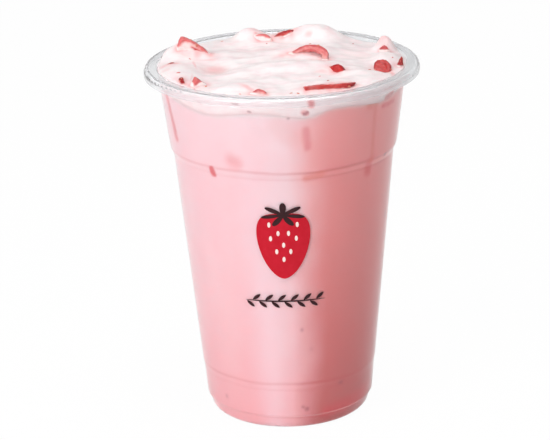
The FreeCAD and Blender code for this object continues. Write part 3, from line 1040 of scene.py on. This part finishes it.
cream_tree = tree_of([cream])
seed_blobs = [on_cream(x, y, heading, SEED_SIZE, SEED_SINK) for x, y, heading in SEEDS_IN_CREAM]
for berry_name, berry in zip(BERRIES, berries):
    seed_blobs += berry_seeds(berry_name, berry)
seeds = new_object("seeds", *joined(seed_blobs))
seeds.data.materials.append(seed_material())
specks = new_object("pulp_specks", *joined(
    on_cream(x, y, PULP_TURN * i, [size * part for part in PULP_SHAPE], PULP_SINK, PULP_WAVE)
    for i, (x, y, size) in enumerate(PULP_IN_CREAM)))
specks.data.materials.append(pulp_material())

# ======== the milk tea ========
TOP_RINGS = (0.97, 0.9, 0.75, 0.55, 0.3)
# The redder side, which is partly fruit and partly painted shade, in degrees of azimuth: where it
# begins, how soft its edge is, and where, from its start, it fades out again behind.
FRUIT_AND_SHADE_START = -93.0
FRUIT_AND_SHADE_EDGE = 30.0
FRUIT_AND_SHADE_FADE = (130.0, 230.0)
# A paler band down the front-left of the drink is a painted highlight: its middle in degrees of
# azimuth, its width and its strength.
HIGHLIGHT_BAND_MIDDLE = -101.0
HIGHLIGHT_BAND_WIDTH = 11.0
HIGHLIGHT_BAND = 0.26
DEEP = (0.05, 0.50, 1.6)       # strength at the rim, its gain to the bottom, and the gain's power
FRUIT_AND_SHADE = (0.60, 0.36, 0.5)
SWAY_BROAD = ((22.0, 22.0, 40.0), 12.0, 5.0)   # noise in the colours' borders, in degrees
SWAY_FINE = (8.0, 13.0, 2.0)
# Painted shade: thin darker lines in the drink where the wall turns in at each ledge.
LEDGE_SHADE_LINES = (            # height, softness and strength
    (UPPER_LEDGE_TOP - 0.4, 0.5, 0.60),
    (UPPER_LEDGE_TOP - UPPER_LEDGE_RISE, 0.5, 0.25),
    (LOWER_LEDGE_HEIGHT + LOWER_LEDGE_RISE, 0.5, 0.60),
    (LOWER_LEDGE_HEIGHT, 0.45, 0.25),
    (RING_HEIGHT - RING_RISE, 0.4, 0.6),
)


def growing(down, curve):
    """A strength that grows from the rim to the bottom."""
    start, gain, power = curve
    return start + gain * down ** power


def milk_colours(points, below):
    """What the drink's colour follows: paler milk lies on the left and redder fruit on the right,
    with a soft edge down the front, and both get deeper towards the bottom. The right side's red is
    partly painted shade and darkens towards the bottom, a paler band down the front-left is a
    painted highlight, and thin darker lines at the ledges are painted shade."""
    azimuth = np.degrees(np.arctan2(points[:, 1], points[:, 0]))
    height = points[:, 2]
    down = 1 - height / RIM_HEIGHT
    sway = tall_noise(points, SWAY_BROAD) + tall_noise(points, SWAY_FINE)
    # The redder, darker right side is partly fruit and partly painted shade.
    turned = (azimuth + sway - FRUIT_AND_SHADE_START + 90.0) % 360.0 - 90.0
    fruit_and_shade_side = smoothstep(0.0, FRUIT_AND_SHADE_EDGE, turned)
    fruit_and_shade_side = fruit_and_shade_side * (1 - smoothstep(*FRUIT_AND_SHADE_FADE, turned))
    # Painted highlight: a paler vertical band down the drink's front-left, taken off its deeper and
    # redder colours.
    from_highlight = (azimuth + sway * 0.5 - HIGHLIGHT_BAND_MIDDLE) / HIGHLIGHT_BAND_WIDTH
    painted_highlight = HIGHLIGHT_BAND * np.exp(-(from_highlight ** 2)) * (0.5 + down)
    # Painted shade: the drink is darker in a thin line where the wall turns in at each ledge, more
    # so on the right side.
    painted_ledge_shade = np.zeros(len(points))
    for level, reach, strength in LEDGE_SHADE_LINES:
        line = np.exp(-(((height - level + 0.15 * sway) / reach) ** 2))
        painted_ledge_shade = np.maximum(painted_ledge_shade, strength * line * (0.45 + 0.55 * fruit_and_shade_side))
    return {
        "creamy": CREAMY_SHARE * (1 - smoothstep(BORDER_START, CREAMY_END,
                                                 below - border_blur(points))),
        "deep": np.clip(growing(down, DEEP) - painted_highlight, 0, 1),
        "fruit": np.clip(fruit_and_shade_side * growing(down, FRUIT_AND_SHADE) - painted_highlight, 0, 1),
        "low": down,
        "painted_ledge_shade": painted_ledge_shade,
        "red_pulp": streaks(points, RED_PULP),
        "orange_pulp_and_shade": streaks(points, ORANGE_PULP_AND_SHADE),
        "dark_speck": streaks(points, DARK_SPECKS),
    }


def make_milk():
    profile = rounded_points(left_face(cup_corners(), WALL - INTO_WALL)[:-1])[1:]
    rings = [ring_at(radius, height) for radius, height in profile]
    surface = border_ring(1.0)[:, 2]
    foot = profile[-1][1]
    steps = math.ceil((RIM_HEIGHT - CREAM_DEPTH - foot) / RUN_STEP)
    for step in range(1, steps + 1):
        level = foot + (surface - foot) * step / steps
        rings.append(ring_at(fill_radius(level), level))
    rings += [border_ring(share) for share in TOP_RINGS]
    tips = [(0.0, 0.0, profile[0][1]), (0.0, 0.0, RIM_HEIGHT - CREAM_DEPTH)]
    points = np.vstack([*rings, tips])
    below = np.concatenate([np.tile(surface, len(rings)), surface[:2]]) - points[:, 2]
    obj = new_object("milk_tea_dressed", points, closed_rings(len(rings), TURN_STEPS),
                     milk_colours(points, below))
    obj.data.materials.append(milk_look)
    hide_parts("milk_tea")


make_milk()


# ======== the print on the wall ========
PRINT_TURN = -91.5         # azimuth of its middle
PRINT_TIP = 58.5           # height of the printed fruit's tip
PRINT_LENGTH = 24.0
PRINT_HALF_WIDTH = 9.2
PRINT_LIFT = 0.05          # how far the ink's front and back stand off the wall
PRINT_BACK = 0.01
PRINT_SECOND_LIFT = 0.09   # ink printed over the red
PRINT_RINGS = 14
FRUIT_STEPS = 61
TIP_POWER = 0.58           # how blunt the printed fruit is at its tip and at its top
TOP_POWER = 0.24
CROWN_STEPS = 200
CROWN_CORE = 1.5
CROWN_LEAF = 4.6
CROWN_SHAPE = (1.25, 0.72)
CROWN_LEAVES = 7
CROWN_SHARPNESS = 1.7
CROWN_UP = 0.98          # its middle, as a share of the fruit's length
OVAL_STEPS = 40
LEAF_STEPS = 32
LEAF_SIZE = (1.75, 0.62)   # half length, half width
LEAF_SLANT = 38.0
LEAF_POINT = 0.6
LEAF_STEM = 1.35
LEAF_SPREAD = 0.94
GARLAND_HEIGHT = 50.0
GARLAND_REACH = 14.0
GARLAND_LINE = 0.28
GARLAND_LEAVES = 12
PRINT_SEED_SIZE = (0.52, 0.95)
PRINT_SEED_SPREAD = 0.70   # more than the fruit's greatest width, so that its seeds keep inside
# Across as a share of the fruit's half width, and up as a share of its length.
PRINT_SEEDS = ((0.0, 0.30), (-0.34, 0.42), (0.34, 0.42), (0.0, 0.52), (-0.55, 0.62),
               (0.55, 0.62), (-0.22, 0.70), (0.22, 0.70), (-0.62, 0.83), (0.62, 0.83))


def outer_radius(height):
    """Outer radius of the long wall between the two ledges."""
    (r0, z0, _), (r1, z1, _) = cup_corners()[-4:-2]
    return r0 + (height - z0) * (r1 - r0) / (z1 - z0)


def print_patch(outline, middle, lift):
    """A thin field of ink: an outline filled from its middle, laid on the wall, front and back."""
    def on_wall(across, up, proud):
        radius = outer_radius(up)
        angle = math.radians(PRINT_TURN) + across / radius
        return (radius + proud) * math.cos(angle), (radius + proud) * math.sin(angle), up

    front = [(ring / PRINT_RINGS, lift) for ring in range(1, PRINT_RINGS + 1)]
    back = [(share, PRINT_BACK) for share, _ in reversed(front)]
    points = [on_wall(middle[0] + (u - middle[0]) * share, middle[1] + (v - middle[1]) * share,
                      proud)
              for share, proud in front + back for u, v in outline]
    points += [on_wall(*middle, lift), on_wall(*middle, PRINT_BACK)]
    return points, closed_rings(2 * PRINT_RINGS, len(outline))


def fruit_width(share):
    """Half width of the printed fruit at a share of its length, before it is brought to size."""
    return share ** TIP_POWER * (1 - share) ** TOP_POWER


def fruit_outline():
    """A strawberry's outline from its tip round, as across and up in millimetres."""
    shares = (1 - np.cos(np.linspace(0, math.pi, FRUIT_STEPS))) / 2
    wide = fruit_width(shares)
    wide = wide / wide.max() * PRINT_HALF_WIDTH
    right = [(w, PRINT_TIP + s * PRINT_LENGTH) for w, s in zip(wide, shares)]
    return right + [(-u, v) for u, v in reversed(right[1:-1])]


def crown_outline(middle):
    """Leaves spread from the stalk."""
    outline = []
    for i in range(CROWN_STEPS):
        a = TAU * i / CROWN_STEPS
        leaf = abs(math.cos(CROWN_LEAVES / 2 * (a - math.pi / 2))) ** CROWN_SHARPNESS
        reach = CROWN_CORE + CROWN_LEAF * leaf
        outline.append((middle[0] + reach * CROWN_SHAPE[0] * math.cos(a),
                        middle[1] + reach * CROWN_SHAPE[1] * math.sin(a)))
    return outline


def oval(middle, half_length, half_width, slant=0.0, point=0.0, steps=OVAL_STEPS):
    """An oval outline, or a leaf's with a point at both ends."""
    turn = math.radians(slant)
    outline = []
    for a in np.linspace(0, TAU, steps, endpoint=False):
        along = half_length * math.cos(a)
        across = half_width * math.sin(a) * abs(math.sin(a)) ** point
        outline.append((middle[0] + along * math.cos(turn) - across * math.sin(turn),
                        middle[1] + along * math.sin(turn) + across * math.cos(turn)))
    return outline


def make_print():
    """A strawberry over a leafy twig. Each field has an outline, a middle, a lift and a tone."""
    crown = (0.0, PRINT_TIP + PRINT_LENGTH * CROWN_UP)
    twig = (0.0, GARLAND_HEIGHT)
    fields = [
        (fruit_outline(), (0.0, PRINT_TIP + PRINT_LENGTH * 0.6), PRINT_LIFT, "red"),
        (crown_outline(crown), crown, PRINT_SECOND_LIFT, "dark"),
        (oval(twig, GARLAND_REACH, GARLAND_LINE), twig, PRINT_LIFT, "dark"),
    ]
    for k in range(GARLAND_LEAVES):
        side = 1 if k % 2 else -1
        along = 2 * (k + 0.5) / GARLAND_LEAVES - 1
        middle = (GARLAND_REACH * along * LEAF_SPREAD, GARLAND_HEIGHT + LEAF_STEM * side)
        leaf = oval(middle, *LEAF_SIZE, LEAF_SLANT * side, LEAF_POINT, LEAF_STEPS)
        fields.append((leaf, middle, PRINT_LIFT, "dark"))
    for share, up in PRINT_SEEDS:
        wide = fruit_width(up) * PRINT_HALF_WIDTH / PRINT_SEED_SPREAD
        middle = (share * wide, PRINT_TIP + up * PRINT_LENGTH)
        fields.append((oval(middle, *PRINT_SEED_SIZE), middle, PRINT_SECOND_LIFT, "pale"))
    bodies = [print_patch(outline, middle, lift) for outline, middle, lift, _ in fields]
    tones = [tone for (points, _), (*_, tone) in zip(bodies, fields) for _ in points]
    obj = new_object("print_mark", *joined(bodies), {
        key: [tone == key for tone in tones] for key in ("pale", "dark")})
    obj.data.materials.append(print_material())


make_print()


# ======== floor, light and camera ========
FLOOR_REACH = 3.0          # in metres, as all sizes from here on
WORLD_DIM = 0.19           # the world's light from the right, and from the left
WORLD_BRIGHT = 0.34
WORLD_BRIGHT_WAY = (-0.85, -0.35, 0.25)
WORLD_SPREAD = 0.9
WORLD_GLOSS = 0.20         # share of the white surroundings that gloss mirrors
LIGHT_AIM = (0.0, 0.0, 0.07)
LIGHT_DISTANCE = 1.2
LIGHTS = {                 # azimuth from +X, elevation above the floor, size and power
    "key": (-133, 30, (0.5, 0.8), 6.9),
    "strip": (-104, 22, (0.14, 0.9), 1.6),
    "top": (-45, 80, (0.7, 0.7), 8.2),
}
CAMERA_PLACE = (0.0, -0.8, 0.3391)
CAMERA_TURNS = (18.73, -0.27, -1.60)   # pitch down, yaw and roll in degrees
CAMERA_LENS = 157.3
SENSOR_WIDTH = 36.0
CLIP_NEAR = 0.05
CLIP_FAR = 20.0


def make_floor():
    mesh = bpy.data.meshes.new("floor")
    corners = [(-FLOOR_REACH, -FLOOR_REACH, 0), (FLOOR_REACH, -FLOOR_REACH, 0),
               (FLOOR_REACH, FLOOR_REACH, 0), (-FLOOR_REACH, FLOOR_REACH, 0)]
    mesh.from_pydata(corners, [], [(0, 1, 2, 3)])
    floor = bpy.data.objects.new("floor", mesh)
    bpy.context.scene.collection.objects.link(floor)
    mesh.materials.append(floor_material())


def make_world():
    """A pale studio: white where it is seen, and softly brighter at the left for light."""
    world = bpy.data.worlds.new("studio")
    bpy.context.scene.world = world
    n = Nodes(world, "ShaderNodeOutputWorld")
    direction = n.add("ShaderNodeTexCoord").outputs["Generated"]
    towards = n.add("ShaderNodeVectorMath", {0: direction,
                                             1: Vector(WORLD_BRIGHT_WAY).normalized()},
                    operation="DOT_PRODUCT").outputs["Value"]
    strength = n.span(towards, -WORLD_SPREAD, WORLD_SPREAD, WORLD_DIM, WORLD_BRIGHT)
    lighting = n.add("ShaderNodeBackground", {"Strength": strength})
    white = n.add("ShaderNodeBackground", {"Strength": 1.0, "Color": (1, 1, 1, 1)})
    seen = n.math("MAXIMUM", n.rays("Is Camera Ray", "Is Transmission Ray"),
                  n.math("MULTIPLY", n.rays("Is Glossy Ray"), WORLD_GLOSS))
    n.finish(n.blend_shaders(seen, lighting, white))


def make_light(name, azimuth, elevation, size, power):
    """A soft box that faces the cup from a direction."""
    light = bpy.data.lights.new(name, "AREA")
    light.shape = "RECTANGLE"
    light.size, light.size_y = size
    light.energy = power
    obj = bpy.data.objects.new(name, light)
    a, e = math.radians(azimuth), math.radians(elevation)
    out = Vector((math.cos(a) * math.cos(e), math.sin(a) * math.cos(e), math.sin(e)))
    obj.location = Vector(LIGHT_AIM) + out * LIGHT_DISTANCE
    obj.rotation_mode = "QUATERNION"
    obj.rotation_quaternion = out.to_track_quat("Z", "Y")
    bpy.context.scene.collection.objects.link(obj)


def make_camera():
    pitch, yaw, roll = (math.radians(turn) for turn in CAMERA_TURNS)
    forward = Vector((math.sin(yaw) * math.cos(pitch), math.cos(yaw) * math.cos(pitch),
                      -math.sin(pitch)))
    level = Vector((math.cos(yaw), -math.sin(yaw), 0.0))
    upright = level.cross(forward)
    right = level * math.cos(roll) + upright * math.sin(roll)
    up = upright * math.cos(roll) - level * math.sin(roll)
    data = bpy.data.cameras.new("camera")
    data.sensor_width = SENSOR_WIDTH
    data.lens = CAMERA_LENS
    data.clip_start = CLIP_NEAR
    data.clip_end = CLIP_FAR
    camera = bpy.data.objects.new("camera", data)
    turn = Matrix((right, up, -forward)).transposed().to_4x4()
    camera.matrix_world = Matrix.Translation(CAMERA_PLACE) @ turn
    bpy.context.scene.collection.objects.link(camera)
    bpy.context.scene.camera = camera


make_floor()
make_world()
for light_name, light_settings in LIGHTS.items():
    make_light(light_name, *light_settings)
make_camera()
bpy.context.scene.view_settings.view_transform = "Standard"
